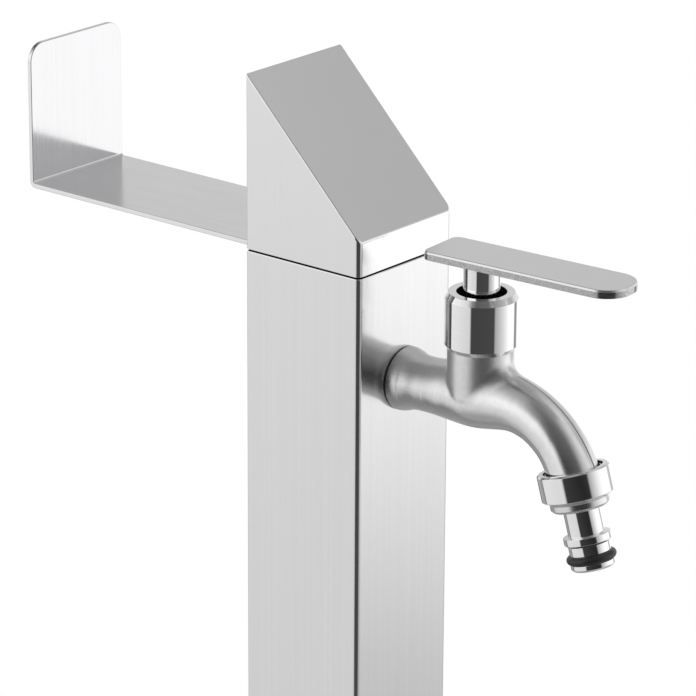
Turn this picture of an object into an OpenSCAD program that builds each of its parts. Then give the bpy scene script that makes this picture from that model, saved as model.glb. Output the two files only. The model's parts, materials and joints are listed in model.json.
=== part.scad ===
// Garden standpipe: a square steel column on a base plate, with a slanted cap,
// a hose rest behind it, and a quarter-turn hose tap on its front.
// Millimetres. +Z is up, the tap points along -Y, and the hose rest along +Y.
// The origin is the centre of the base plate's underside.

/* [Column] */
// Outer width of the square column
column_w = 60; // [56:1:80]
// Height of the column's top edge above the ground
column_h = 924.4; // [500:0.1:1200]
// Wall of the column
column_wall = 1.5; // [1.2:0.1:2.5]
// Outer radius of the column's two front edges
column_corner_r = 2.4; // [1.8:0.1:3]
// Outer radius of the column's two back edges
column_back_r = 0.8; // [0.5:0.1:1.8]

/* [Base] */
// Width of the square base plate
base_w = 130; // [110:1:180]
// Thickness of the base plate
base_t = 5; // [3:0.5:10]
// Corner radius of the base plate
base_corner_r = 8; // [2:0.5:14]
// Distance between two neighbouring bolt holes
base_hole_pitch = 100; // [92:1:120]
// Radius of the bolt holes
base_hole_r = 4.5; // [3:0.25:6.5]
// Radius of the pipe opening in the base plate
base_pipe_hole_r = 22.5; // [18:0.5:26]
// Leg of the weld between column and base plate
base_weld_leg = 4; // [2:0.5:6]

/* [Cap] */
// Height of the cap at its front
cap_front_h = 15; // [14:0.5:40]
// Slope of the cap's top plate in degrees
cap_slope = 45; // [25:1:50]
// Wall of the cap and of its sloping plate
cap_wall = 1.5; // [1:0.1:2.5]
// Thickness of the seal between cap and column
gasket_t = 0.6; // [0.3:0.1:2]
// How far the seal stays behind the column's faces
gasket_inset = 0.45; // [0.2:0.05:1]
// Wall of the insert that joins cap and column
insert_wall = 1.5; // [1:0.1:2.5]
// How far the insert reaches down into the column
insert_drop = 33; // [26:0.5:34]
// How far the insert reaches up into the cap
insert_rise = 9; // [5:0.5:10]
// Gap between the insert and the walls around it
insert_gap = 0.2; // [0.1:0.05:0.4]

/* [Hose rest] */
// Width of the hose rest
rest_w = 56.3; // [30:0.1:56.4]
// Length of the hose rest behind the cap
rest_len = 124.5; // [70:0.5:200]
// Height of its upturned end above its underside
rest_rise = 63.2; // [30:0.1:100]
// Thickness of its sheet
rest_t = 2; // [1.5:0.1:4]
// Outer radius of its fold
rest_fold_r = 3; // [2.5:0.1:6]
// Radius of the two corners at the top of the upturned end
rest_corner_r = 8; // [2:0.5:14]
// Height of its underside above the cap's lower edge
rest_lift = 1; // [0.8:0.1:8]

/* [Tap body] */
// Drop from the column's top edge to the tap's inlet axis
tap_drop = 49.8; // [49:0.1:120]
// Distance from the column's front face to the valve axis
valve_reach = 39.4; // [38:0.1:50]
// Radius of the round flange against the column
flange_r = 13.5; // [12.5:0.1:18]
// Thickness of the flange's rim
flange_t = 5.1; // [3:0.1:6]
// Thickness of the seal behind the flange
inlet_seal_t = 0.5; // [0.5:0.1:2]
// Radius of the barrel between flange and valve
barrel_r = 11.3; // [10.8:0.1:12]
// Radius of the upright neck under the bonnet
neck_r = 13.6; // [13.2:0.1:14.2]
// Height of the neck's shoulder above the inlet axis
neck_h = 22.3; // [20:0.1:26]
// Radius of the spout tube
spout_r = 10.5; // [9.5:0.1:11]
// Bend radius of the spout's centre line
spout_bend_r = 36.5; // [32:0.1:40]
// Angle through which the spout bends down
spout_angle = 73.4; // [65:0.1:80]
// Distance from the valve axis to the start of the bend
spout_start = 14.1; // [13:0.1:16]
// Height of the spout's first point above the inlet axis
spout_lift = 2.2; // [1:0.1:3]
// Radius of the waterway in the spout
waterway_r = 6.3; // [5.5:0.1:7]

/* [Valve] */
// Radius of the bonnet sleeve
bonnet_r = 15; // [14.3:0.1:16]
// Height of the bonnet sleeve
bonnet_h = 24; // [22:0.1:30]
// Radius of the recess in the bonnet's top
recess_r = 10.3; // [9.5:0.1:11]
// Radius of the hub under the lever
hub_r = 7.6; // [7:0.1:8.5]
// Radius of the spindle in the cartridge
spindle_r = 5; // [4.8:0.1:5.2]
// Radial clearance of the turning spindle
spindle_clear = 0.05; // [0.03:0.01:0.1]

/* [Lever] */
// Length of the lever ahead of the valve axis
lever_front = 70.5; // [50:0.5:90]
// Length of the lever behind the valve axis
lever_back = 21.5; // [14:0.5:22]
// Width of the lever
lever_w = 25; // [18:0.1:30]
// Thickness of the lever
lever_t = 3.6; // [2.5:0.1:5]
// Radius of the two corners at the lever's tip
lever_tip_r = 11; // [4:0.1:12]
// Radius of the two corners at the lever's back
lever_back_r = 4; // [1:0.1:8]
// Clear height between the bonnet's rim and the lever
lever_gap = 12.5; // [12:0.1:25]
// Turn of the lever at rest, in degrees, away from straight ahead
lever_yaw = 4; // [-5:0.5:10]

/* [Hose connector] */
// Radius of the connector's collar
collar_r = 14.9; // [14.4:0.1:16]
// Inner radius of the collar
collar_bore_r = 13.3; // [13.2:0.1:13.6]
// Height of the collar down to its bevel
collar_h = 11; // [10:0.1:14]
// Radius of the step under the collar
step_r = 12.15; // [10.5:0.05:13]
// Radius of the nipple's neck
nipple_r = 7.5; // [7.3:0.1:8]
// Length of the nipple's neck
nipple_neck_h = 11.1; // [9:0.1:14]
// Radius of the nipple's locking ring
ring_r = 9.75; // [9:0.05:11]
// Radius of the land below the locking ring
land_r = 8.5; // [8:0.05:9]
// Radius of the nipple's end lip
lip_r = 9.1; // [8.8:0.05:10]
// Radius of the bore through the nipple
nipple_bore_r = 4.8; // [4:0.1:5.2]
// Section radius of the nipple's sealing ring
nipple_seal_r = 1.8; // [1.6:0.05:2]

/* [Pipework] */
// Outer radius of the riser pipe
riser_r = 10.65; // [9.5:0.05:11]
// Wall of the riser pipe
riser_wall = 1.6; // [1:0.1:2.5]
// Outer radius of elbow and coupling
fitting_r = 13.5; // [13:0.1:15]
// Radius of the thread in the supply coupling
supply_thread_r = 9.3; // [8.5:0.05:9.6]
// Depth of the thread in the supply coupling
supply_thread_h = 15; // [10:0.5:18]
// Height of the supply coupling's mouth above the ground
supply_z = 25; // [12:0.5:60]
// Height of the lower pipe guide above the ground
guide_z = 120; // [90:1:250]

/* [Hidden] */
$fn = 96;
fine_fn = 240;
cut = 1;
fit_gap = 0.05;
half_w = column_w / 2;
inner_half = half_w - column_wall;
root2 = sqrt(2);

// Cap levels
cap_z = column_h + gasket_t;
cap_rise = column_w * tan(cap_slope);
cap_back_h = cap_front_h + cap_rise;
cap_box_h = cap_back_h + column_w;
cap_inner_half = half_w - cap_wall;
insert_half = min(inner_half, cap_inner_half) - insert_gap;
gasket_half = half_w - gasket_inset;
insert_corner_r = max(column_corner_r - column_wall, column_wall / 2);
cap_screw_r = 2.5;
cap_screw_pitch = 30;
cap_screw_drop = 16;
cap_screw_len = 9;
cap_screw_head_r = 4.75;
cap_screw_head_h = 2.75;
cap_screw_head_edge = 0.8;
cap_screw_head_round = 1.6;
cap_screw_socket_r = 1.7;
cap_screw_socket_h = 1.6;
cap_screw_gap = 0.25;
cap_screw_z = column_h - cap_screw_drop;

// Hose rest
rest_z = cap_z + rest_lift;
rest_y = half_w;
rest_weld_most = 0.7;
rest_weld_leg = min(rest_weld_most, rest_lift);
rest_weld_inset = 1.5;

// Tap body
tap_z = column_h - tap_drop;
tap_back_y = -half_w - inlet_seal_t;
valve_y = -half_w - valve_reach;
inlet_seal_inset = 0.4;
inlet_seal_r = flange_r - inlet_seal_inset;
flange_fillet_r = 8;
flange_fillet_end = 9.6;
flange_edge = 0.5;
stub_r = 10.45;
stub_gap = 0.25;
stub_in = 21;
stub_len = stub_in + inlet_seal_t;
stub_edge = 1;
inlet_bore_r = 6;
inlet_bore_over = 0.6;
bulge_over = 0.2;
bulge_r = neck_r + bulge_over;
bulge_lift = 1.3;
bulge_rear_arc = 110;
bulge_front_arc = 70;
bulge_top = 1.4;
bulge_rear_len = 23;
bulge_front_len = 25;
spout_y = valve_y - spout_start;
spout_z = tap_z + spout_lift;
seam_line_w = 0.8;
seam_line_h = 0.25;
seam_line_deep = 0.6;

// Valve chamber, from the bottom up, above the inlet axis
chamber_r = 10;
chamber_floor = 6.1;
port_r = 4.6;
seat_seal_t = 1.5;
seat_seal_out = 9.4;
seat_seal_in = 5.2;
disc_t = 3;
disc_gap = 0.05;
fixed_disc_r = 8.15;
turning_disc_r = 7.9;
disc_port_r = 2.4;
disc_port_place = 4.4;
driver_t = 3;
cavity_r = 8.2;
cavity_gap = 0.4;
cartridge_r = 9.9;
cartridge_flange_t = 3;
cartridge_boss_r = 7;
cartridge_boss_h = 3.4;
window_w = 7;
spigot_r = 12;
spigot_h = 9.8;
spigot_gap = 0.1;
channel_r = 3.4;
channel_tilt = 37.6;
channel_len = 15.6;
channel_ahead = 2.5;
channel_low = 0.25;
seat_seal_z = tap_z + chamber_floor;
fixed_disc_z = seat_seal_z + seat_seal_t;
turning_disc_z = fixed_disc_z + disc_t + disc_gap;
driver_z = turning_disc_z + disc_t + disc_gap;
cavity_top_z = driver_z + driver_t + cavity_gap;
neck_z = tap_z + neck_h;
spigot_top_z = neck_z + spigot_h;
flange_top_z = spigot_top_z + cartridge_flange_t;
cartridge_flange_inset = 0.2;
cartridge_flange_r = spigot_r - cartridge_flange_inset;

// Bonnet sleeve
bonnet_bevel_w = 1.25;
bonnet_bevel_h = 2.4;
bonnet_foot_w = 1.2;
bonnet_foot_h = 2;
bonnet_web_t = 4;
bonnet_hole_gap = 0.3;
bonnet_top_z = neck_z + bonnet_h;
recess_floor_z = flange_top_z + bonnet_web_t;

// Hub, spindle and lever
hub_lift = 1.2;
hub_z = recess_floor_z + hub_lift;
lever_z = bonnet_top_z + lever_gap;
hub_h = lever_z - hub_z;
spindle_top_r = 4;
spindle_grip = 13.5;
hub_bore_r = spindle_top_r + fit_gap;
hub_bore_over = 0.5;
hub_bore_h = spindle_grip + hub_bore_over;
spindle_seal_r = 0.7;
spindle_seal_pitch = 5;
spindle_seal_drop = 4;
spindle_groove_h = 1.8;
grub_r = 2;
grub_len = 3.3;
grub_gap = 0.05;
grub_lift = 4;
grub_z = bonnet_top_z + grub_lift;
grub_socket_r = 1.15;
grub_socket_h = 1.6;

// Hose connector, along the outlet axis from the end of the bend
collar_top = -5.8;
collar_wall_edge = 0.7;
collar_bevel_h = 1.8;
collar_low = collar_top + collar_h;
step_top = collar_low + collar_bevel_h;
step_h = 3.4;
step_edge = 1.1;
step_low = step_top + step_h;
ring_top = step_low + nipple_neck_h;
ring_h = 3.8;
ring_edge = 0.9;
ring_low = ring_top + ring_h;
land_h = 3.9;
land_low = ring_low + land_h;
groove_r = land_r - nipple_seal_r;
groove_h = 2 * nipple_seal_r;
lip_top = land_low + groove_h;
lip_h = 2.8;
lip_edge = 0.9;
lip_low = lip_top + lip_h;
thread_gap = 0.08;
outlet_thread_r = collar_bore_r - thread_gap;
outlet_thread_top = -2.4;
outlet_step = 0.9;
outlet_seal_t = 2;
outlet_seal_r = 12.4;
collar_floor_lift = 0.5;
collar_floor = collar_low - collar_floor_lift;
outlet_seal_top = collar_floor - outlet_seal_t;
outlet_thread_low = outlet_seal_top;

// Pipework
locknut_r = 14.4;
locknut_t = 4.5;
elbow_gap = 1;
elbow_arm = 22;
elbow_mouth_y = -inner_half + locknut_t + elbow_gap;
elbow_bead_r = 14.6;
elbow_bead_h = 3;
elbow_bore_r = 7.5;
elbow_socket_h = 13;
riser_top_z = tap_z - elbow_arm + elbow_socket_h;
riser_grip = 14;
coupling_web = 3;
coupling_h = supply_thread_h + coupling_web + riser_grip;
riser_low_z = supply_z + supply_thread_h + coupling_web;
coupling_r = 14.2;
coupling_lip = 1;
guide_t = 4;
guide_gap = 0.2;
guide_notch_r = 8;

steel = [0.78, 0.78, 0.79];
polished = [0.88, 0.88, 0.89];
cast_steel = [0.74, 0.74, 0.75];
rubber = [0.08, 0.08, 0.09];
brass = [0.78, 0.64, 0.36];
ceramic = [0.93, 0.93, 0.90];
plastic = [0.25, 0.26, 0.28];

// Square outline with round corners, centred
module round_square(half, r) {
    long = 2 * half;
    short = long - 2 * r;
    square([long, short], center = true);
    square([short, long], center = true);
    for (sx = [-1, 1], sy = [-1, 1])
        translate([sx * (half - r), sy * (half - r)])
            circle(r);
}

// Column's outline: wide front edges, tighter back edges
module column_outline(half) {
    patch = 2 * column_corner_r;
    round_square(half, column_corner_r);
    for (sx = [-1, 1])
        translate([sx * (half - patch), half - patch])
            round_square(patch, column_back_r);
}

// Square tube with round inner edges; children draw its outer outline
module square_tube(half, wall, r_in, z, h) {
    translate([0, 0, z])
        difference() {
            linear_extrude(h)
                children();
            translate([0, 0, -cut])
                linear_extrude(h + 2 * cut)
                    round_square(half - wall, r_in);
        }
}

// Everything under the plane that slopes up to the back at the cap's angle,
// measured square to the slope by drop
module under_slope(drop) {
    translate([0, -half_w, cap_z + cap_front_h])
        rotate([cap_slope, 0, 0])
            translate([-column_w, -column_w, -cap_box_h - drop])
                cube([2 * column_w, 2 * cap_box_h, cap_box_h]);
}

module cap_block() {
    translate([0, 0, cap_z])
        linear_extrude(cap_box_h)
            column_outline(half_w);
}

module ring(r_out, r_in, h) {
    difference() {
        cylinder(h = h, r = r_out);
        translate([0, 0, -cut])
            cylinder(h = h + 2 * cut, r = r_in);
    }
}

// Children point forward out of the column, from the tap's back plane
module at_inlet() {
    translate([0, tap_back_y, tap_z])
        rotate([90, 0, 0])
            children();
}

// Children stand on the valve axis at height z
module at_valve(z) {
    translate([0, valve_y, z])
        children();
}

// Children bend with the spout: the sweep starts level and ends at its angle
module along_bend() {
    translate([0, spout_y, spout_z - spout_bend_r])
        rotate([0, -90, 180])
            rotate_extrude(angle = spout_angle)
                translate([spout_bend_r, 0])
                    children();
}

// Children point out of the spout, from the end of its bend
module at_outlet() {
    translate([0, spout_y, spout_z - spout_bend_r])
        translate([0, -spout_bend_r * sin(spout_angle), spout_bend_r * cos(spout_angle)])
            rotate([90 + spout_angle, 0, 0])
                children();
}

// Round piece with a bevelled foot
module bevel_foot(r, h, edge_r, edge_h) {
    cylinder(h = h - edge_h, r = r);
    translate([0, 0, h - edge_h])
        cylinder(h = edge_h, r1 = r, r2 = r - edge_r);
}

module base_plate() {
    color(steel)
        difference() {
            linear_extrude(base_t)
                round_square(base_w / 2, base_corner_r);
            translate([0, 0, -cut])
                cylinder(h = base_t + 2 * cut, r = base_pipe_hole_r);
            for (sx = [-1, 1], sy = [-1, 1])
                translate([sx * base_hole_pitch / 2, sy * base_hole_pitch / 2, -cut])
                    cylinder(h = base_t + 2 * cut, r = base_hole_r);
        }
}

module base_weld() {
    color(cast_steel)
        difference() {
            translate([0, 0, base_t])
                rotate([0, 0, 45])
                    cylinder(h = base_weld_leg, r1 = (half_w + base_weld_leg) * root2, r2 = half_w * root2, $fn = 4);
            linear_extrude(base_t + base_weld_leg + cut)
                column_outline(half_w);
        }
}

module column_tube() {
    color(steel)
        difference() {
            square_tube(half_w, column_wall, insert_corner_r, base_t, column_h - base_t)
                column_outline(half_w);
            translate([0, -inner_half + cut, tap_z])
                rotate([90, 0, 0])
                    cylinder(h = column_wall + 2 * cut, r = stub_r + stub_gap);
            cap_screw_holes(cap_screw_r + cap_screw_gap, inner_half - cut, column_wall + 2 * cut);
        }
}

module cap_screw_holes(r, y, h) {
    for (sx = [-1, 1])
        translate([sx * cap_screw_pitch / 2, y, cap_screw_z])
            rotate([-90, 0, 0])
                cylinder(h = h, r = r);
}

module cap_gasket() {
    color(rubber)
        square_tube(gasket_half, gasket_half - insert_half - insert_gap, insert_corner_r, column_h, gasket_t)
            column_outline(gasket_half);
}

module cap_shell() {
    color(steel)
        difference() {
            intersection() {
                cap_block();
                under_slope(cap_wall);
            }
            translate([0, 0, cap_z - cut])
                linear_extrude(cap_box_h + 2 * cut)
                    round_square(cap_inner_half, insert_corner_r);
        }
}

module cap_top_plate() {
    color(steel)
        difference() {
            intersection() {
                cap_block();
                under_slope(0);
            }
            under_slope(cap_wall);
        }
}

module cap_insert() {
    color(steel)
        difference() {
            square_tube(insert_half, insert_wall, insert_corner_r, column_h - insert_drop,
                insert_drop + gasket_t + insert_rise)
                round_square(insert_half, insert_corner_r);
            cap_screw_holes(cap_screw_r + fit_gap, insert_half - insert_wall - cut, insert_wall + 2 * cut);
        }
}

module cap_screws() {
    color(polished)
        for (sx = [-1, 1])
            translate([sx * cap_screw_pitch / 2, half_w, cap_screw_z])
                rotate([-90, 0, 0])
                    difference() {
                        union() {
                            translate([0, 0, -cap_screw_len])
                                cylinder(h = cap_screw_len + cap_screw_head_h / 2, r = cap_screw_r);
                            bevel_foot(cap_screw_head_r, cap_screw_head_h, cap_screw_head_round,
                                cap_screw_head_h - cap_screw_head_edge);
                        }
                        translate([0, 0, cap_screw_head_h - cap_screw_socket_h])
                            cylinder(h = cap_screw_socket_h + cut, r = cap_screw_socket_r, $fn = 6);
                    }
}

// Side view of the folded sheet: y to the right, z up
module rest_profile() {
    fold_in = rest_fold_r - rest_t;
    square([rest_len - rest_fold_r, rest_t]);
    translate([rest_len - rest_t, rest_fold_r])
        square([rest_t, rest_rise - rest_fold_r]);
    translate([rest_len - rest_fold_r, rest_fold_r])
        intersection() {
            difference() {
                circle(rest_fold_r);
                circle(fold_in);
            }
            translate([0, -rest_fold_r])
                square(rest_fold_r);
        }
}

// Outline of the upturned end, seen along y
module rest_outline() {
    translate([-rest_w / 2, 0])
        square([rest_w, rest_rise - rest_corner_r]);
    translate([-rest_w / 2 + rest_corner_r, 0])
        square([rest_w - 2 * rest_corner_r, rest_rise]);
    for (sx = [-1, 1])
        translate([sx * (rest_w / 2 - rest_corner_r), rest_rise - rest_corner_r])
            circle(rest_corner_r);
}

module hose_rest() {
    color(steel)
        translate([0, rest_y, rest_z])
            intersection() {
                translate([-rest_w / 2, 0, 0])
                    rotate([90, 0, 90])
                        linear_extrude(rest_w)
                            rest_profile();
                translate([0, rest_len + cut, 0])
                    rotate([90, 0, 0])
                        linear_extrude(rest_len + 2 * cut)
                            rest_outline();
            }
}

module rest_weld() {
    weld_len = rest_w - 2 * rest_weld_inset;
    color(cast_steel)
        translate([-weld_len / 2, rest_y, rest_z])
            rotate([90, 0, 90])
                linear_extrude(weld_len)
                    polygon([[0, 0], [0, -rest_weld_leg], [rest_weld_leg, 0]]);
}

module inlet_seal() {
    color(rubber)
        translate([0, -half_w, tap_z])
            rotate([90, 0, 0])
                ring(inlet_seal_r, stub_r + stub_gap, inlet_seal_t);
}

// Half section of flange and barrel: radius to the right, forward up
module barrel_profile() {
    barrel_len = valve_reach - inlet_seal_t;
    square([barrel_r, barrel_len]);
    square([flange_r - flange_edge, flange_t]);
    square([flange_r, flange_t - flange_edge]);
    translate([flange_r - flange_edge, flange_t - flange_edge])
        circle(flange_edge);
    difference() {
        square([flange_r - flange_edge, flange_fillet_end]);
        translate([barrel_r + flange_fillet_r, flange_fillet_end])
            circle(flange_fillet_r, $fn = fine_fn);
    }
}

// Half section of the swelling round the valve: radius to the right, forward up
module bulge_profile() {
    intersection() {
        translate([bulge_r - bulge_rear_arc, 0])
            circle(bulge_rear_arc, $fn = 2 * fine_fn);
        translate([0, -bulge_rear_len])
            square([bulge_r, bulge_rear_len]);
    }
    intersection() {
        translate([bulge_r - bulge_front_arc, 0])
            circle(bulge_front_arc, $fn = 2 * fine_fn);
        square([bulge_r, bulge_front_len]);
    }
}

module tap_casting() {
    at_inlet() {
        rotate_extrude()
            barrel_profile();
        translate([0, 0, -stub_len]) {
            translate([0, 0, stub_edge])
                cylinder(h = stub_len, r = stub_r);
            cylinder(h = stub_edge, r1 = stub_r - stub_edge, r2 = stub_r);
        }
    }
    translate([0, valve_y + bulge_top, tap_z + bulge_lift])
        rotate([90, 0, 0])
            rotate_extrude()
                bulge_profile();
    at_valve(tap_z + bulge_lift)
        cylinder(h = neck_h - bulge_lift, r = neck_r);
    at_valve(neck_z)
        cylinder(h = spigot_h, r = spigot_r);
    along_bend()
        circle(spout_r);
    along_bend()
        translate([spout_r - seam_line_deep, -seam_line_w / 2])
            square([seam_line_deep + seam_line_h, seam_line_w]);
    at_outlet()
        translate([0, 0, outlet_thread_top])
            cylinder(h = outlet_thread_low - outlet_thread_top, r = outlet_thread_r);
}

module tap_waterways() {
    inlet_run = stub_len + valve_reach - inlet_seal_t + port_r + inlet_bore_over;
    at_inlet()
        translate([0, 0, -stub_len - cut])
            cylinder(h = inlet_run + cut, r = inlet_bore_r);
    at_valve(tap_z)
        cylinder(h = chamber_floor + cut, r = port_r);
    at_valve(seat_seal_z)
        cylinder(h = spigot_top_z - seat_seal_z + cut, r = chamber_r);
    along_bend()
        circle(waterway_r);
    translate([0, spout_y - channel_ahead, spout_z - channel_low])
        rotate([-channel_tilt, 0, 0])
            cylinder(h = channel_len, r = channel_r);
    at_outlet()
        translate([0, 0, outlet_thread_top])
            cylinder(h = outlet_thread_low - outlet_thread_top + cut, r = waterway_r + outlet_step);
}

module tap_body() {
    color(cast_steel)
        difference() {
            tap_casting();
            tap_waterways();
        }
}

module inlet_locknut() {
    color(brass)
        translate([0, -inner_half + locknut_t, tap_z])
            rotate([90, 0, 0])
                difference() {
                    cylinder(h = locknut_t, r = locknut_r, $fn = 6);
                    translate([0, 0, -cut])
                        cylinder(h = locknut_t + 2 * cut, r = stub_r + fit_gap);
                }
}

module inlet_elbow() {
    arm_y = -elbow_mouth_y;
    color(brass)
        translate([0, 0, tap_z])
            difference() {
                union() {
                    rotate([90, 0, 0])
                        cylinder(h = arm_y, r = fitting_r);
                    rotate([90, 0, 0])
                        translate([0, 0, arm_y - elbow_bead_h])
                            cylinder(h = elbow_bead_h, r = elbow_bead_r);
                    sphere(fitting_r);
                    translate([0, 0, -elbow_arm])
                        cylinder(h = elbow_arm, r = fitting_r);
                    translate([0, 0, -elbow_arm])
                        cylinder(h = elbow_bead_h, r = elbow_bead_r);
                }
                rotate([90, 0, 0])
                    translate([0, 0, -tap_back_y - stub_len])
                        cylinder(h = column_w, r = stub_r + fit_gap);
                rotate([90, 0, 0])
                    cylinder(h = arm_y, r = elbow_bore_r);
                sphere(elbow_bore_r);
                translate([0, 0, -elbow_arm])
                    cylinder(h = elbow_arm, r = elbow_bore_r);
                translate([0, 0, -elbow_arm - cut])
                    cylinder(h = elbow_socket_h + cut, r = riser_r + fit_gap);
            }
}

module riser_pipe() {
    color(steel)
        translate([0, 0, riser_low_z])
            ring(riser_r, riser_r - riser_wall, riser_top_z - riser_low_z);
}

module pipe_guide() {
    guide_half = inner_half - guide_gap;
    color(plastic)
        translate([0, 0, guide_z])
            difference() {
                linear_extrude(guide_t)
                    round_square(guide_half, insert_corner_r);
                translate([0, 0, -cut])
                    cylinder(h = guide_t + 2 * cut, r = riser_r + fit_gap);
                for (sx = [-1, 1], sy = [-1, 1])
                    translate([sx * guide_half, sy * guide_half, -cut])
                        cylinder(h = guide_t + 2 * cut, r = guide_notch_r);
            }
}

module supply_coupling() {
    color(brass)
        translate([0, 0, supply_z])
            difference() {
                union() {
                    cylinder(h = coupling_h, r = fitting_r);
                    cylinder(h = supply_thread_h, r = coupling_r / cos(30), $fn = 6);
                }
                translate([0, 0, -cut])
                    cylinder(h = supply_thread_h + cut, r = supply_thread_r);
                cylinder(h = coupling_h, r = riser_r - riser_wall - coupling_lip);
                translate([0, 0, supply_thread_h + coupling_web])
                    cylinder(h = riser_grip + cut, r = riser_r + fit_gap);
            }
}

// Half section of the bonnet sleeve: radius to the right, up
module bonnet_profile() {
    inner_r = spigot_r + spigot_gap;
    hole_r = cartridge_boss_r + bonnet_hole_gap;
    web_low = flange_top_z - neck_z;
    web_top = recess_floor_z - neck_z;
    polygon([
        [inner_r, 0],
        [bonnet_r - bonnet_foot_w, 0],
        [bonnet_r, bonnet_foot_h],
        [bonnet_r, bonnet_h - bonnet_bevel_h],
        [bonnet_r - bonnet_bevel_w, bonnet_h],
        [recess_r, bonnet_h],
        [recess_r, web_top],
        [hole_r, web_top],
        [hole_r, web_low],
        [inner_r, web_low]
    ]);
}

module bonnet_sleeve() {
    color(polished)
        at_valve(neck_z)
            rotate_extrude()
                bonnet_profile();
}

module cartridge_body() {
    body_h = spigot_top_z - fixed_disc_z;
    window_h = driver_z + driver_t - turning_disc_z;
    color(brass)
        at_valve(fixed_disc_z)
            difference() {
                union() {
                    cylinder(h = body_h, r = cartridge_r);
                    translate([0, 0, body_h])
                        cylinder(h = cartridge_flange_t, r = cartridge_flange_r);
                    translate([0, 0, body_h + cartridge_flange_t])
                        cylinder(h = cartridge_boss_h, r = cartridge_boss_r);
                }
                translate([0, 0, -cut])
                    cylinder(h = cavity_top_z - fixed_disc_z + cut, r = cavity_r);
                cylinder(h = body_h + cartridge_flange_t + cartridge_boss_h + cut, r = spindle_r + spindle_clear);
                for (turn = [0, 180])
                    rotate([0, 0, turn])
                        translate([-window_w / 2, 0, turning_disc_z - fixed_disc_z])
                            cube([window_w, cartridge_r + cut, window_h]);
            }
}

// Round disc with two ports, side by side along x before the turn
module ported_disc(r, turn) {
    difference() {
        cylinder(h = disc_t, r = r);
        for (side = [0, 180])
            rotate([0, 0, turn + side])
                translate([disc_port_place, 0, -cut])
                    cylinder(h = disc_t + 2 * cut, r = disc_port_r);
    }
}

module fixed_disc() {
    color(ceramic)
        at_valve(fixed_disc_z)
            ported_disc(fixed_disc_r, 0);
}

module turning_disc() {
    color(ceramic)
        at_valve(turning_disc_z)
            ported_disc(turning_disc_r, 90);
}

module seat_seal() {
    color(rubber)
        at_valve(seat_seal_z)
            ring(seat_seal_out, seat_seal_in, seat_seal_t);
}

module outlet_seal() {
    color(rubber)
        at_outlet()
            translate([0, 0, outlet_seal_top])
                ring(outlet_seal_r, waterway_r + outlet_step, outlet_seal_t);
}

// Half section of the hose connector: radius to the right, outward up
module connector_profile() {
    polygon([
        [collar_bore_r, collar_top],
        [collar_r - collar_wall_edge, collar_top],
        [collar_r, collar_top + collar_wall_edge],
        [collar_r, collar_low],
        [step_r, step_top],
        [step_r, step_low - step_edge],
        [step_r - step_edge, step_low],
        [nipple_r, step_low],
        [nipple_r, ring_top],
        [ring_r, ring_top],
        [ring_r, ring_low - ring_edge],
        [ring_r - ring_edge, ring_low],
        [land_r, ring_low],
        [land_r, land_low],
        [groove_r, land_low],
        [groove_r, lip_top],
        [lip_r, lip_top],
        [lip_r, lip_low - lip_edge],
        [lip_r - lip_edge, lip_low],
        [nipple_bore_r, lip_low],
        [nipple_bore_r, collar_floor],
        [collar_bore_r, collar_floor]
    ]);
}

module hose_connector() {
    color(polished)
        at_outlet()
            rotate_extrude()
                connector_profile();
}

module nipple_seal() {
    color(rubber)
        at_outlet()
            translate([0, 0, land_low + nipple_seal_r])
                rotate_extrude()
                    translate([groove_r + nipple_seal_r, 0])
                        circle(nipple_seal_r);
}

// Lever seen from above, forward along -y, with its origin on the valve axis
module lever_outline() {
    half = lever_w / 2;
    straight = lever_front - lever_tip_r;
    translate([-half, -straight])
        square([lever_w, straight + lever_back - lever_back_r]);
    translate([-half + lever_back_r, -straight])
        square([lever_w - 2 * lever_back_r, straight + lever_back]);
    translate([-half + lever_tip_r, -lever_front])
        square([lever_w - 2 * lever_tip_r, lever_front]);
    for (sx = [-1, 1]) {
        translate([sx * (half - lever_tip_r), -straight])
            circle(lever_tip_r);
        translate([sx * (half - lever_back_r), lever_back - lever_back_r])
            circle(lever_back_r);
    }
}

module lever() {
    color(steel)
        at_valve(lever_z)
            rotate([0, 0, lever_yaw])
                linear_extrude(lever_t)
                    lever_outline();
}

module lever_hub() {
    color(polished)
        at_valve(hub_z)
            rotate([0, 0, lever_yaw])
                difference() {
                    cylinder(h = hub_h, r = hub_r);
                    translate([0, 0, -cut])
                        cylinder(h = hub_bore_h + cut, r = hub_bore_r);
                    translate([0, 0, grub_z - hub_z])
                        rotate([-90, 0, 0])
                            cylinder(h = hub_r + cut, r = grub_r + grub_gap);
                }
}

module spindle() {
    low = driver_z;
    top = hub_z + spindle_grip;
    color(brass)
        at_valve(low)
            difference() {
                union() {
                    cylinder(h = driver_t, r = turning_disc_r);
                    cylinder(h = hub_z - low - hub_lift / 2, r = spindle_r);
                    cylinder(h = top - low, r = spindle_top_r);
                }
                for (i = [0, 1])
                    translate([0, 0, spindle_seal_place(i) - low - spindle_groove_h / 2])
                        ring(spindle_r + cut, spindle_r - 2 * spindle_seal_r, spindle_groove_h);
            }
}

function spindle_seal_place(i) = flange_top_z - spindle_seal_drop - i * spindle_seal_pitch;

module spindle_seals() {
    color(rubber)
        for (i = [0, 1])
            at_valve(spindle_seal_place(i))
                rotate_extrude()
                    translate([spindle_r - spindle_seal_r, 0])
                        circle(spindle_seal_r);
}

module grub_screw() {
    color(rubber)
        at_valve(grub_z)
            rotate([0, 0, lever_yaw])
                rotate([-90, 0, 0])
                    translate([0, 0, spindle_top_r + fit_gap])
                        difference() {
                            cylinder(h = grub_len, r = grub_r);
                            translate([0, 0, grub_len - grub_socket_h])
                                cylinder(h = grub_socket_h + cut, r = grub_socket_r, $fn = 6);
                        }
}

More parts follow.
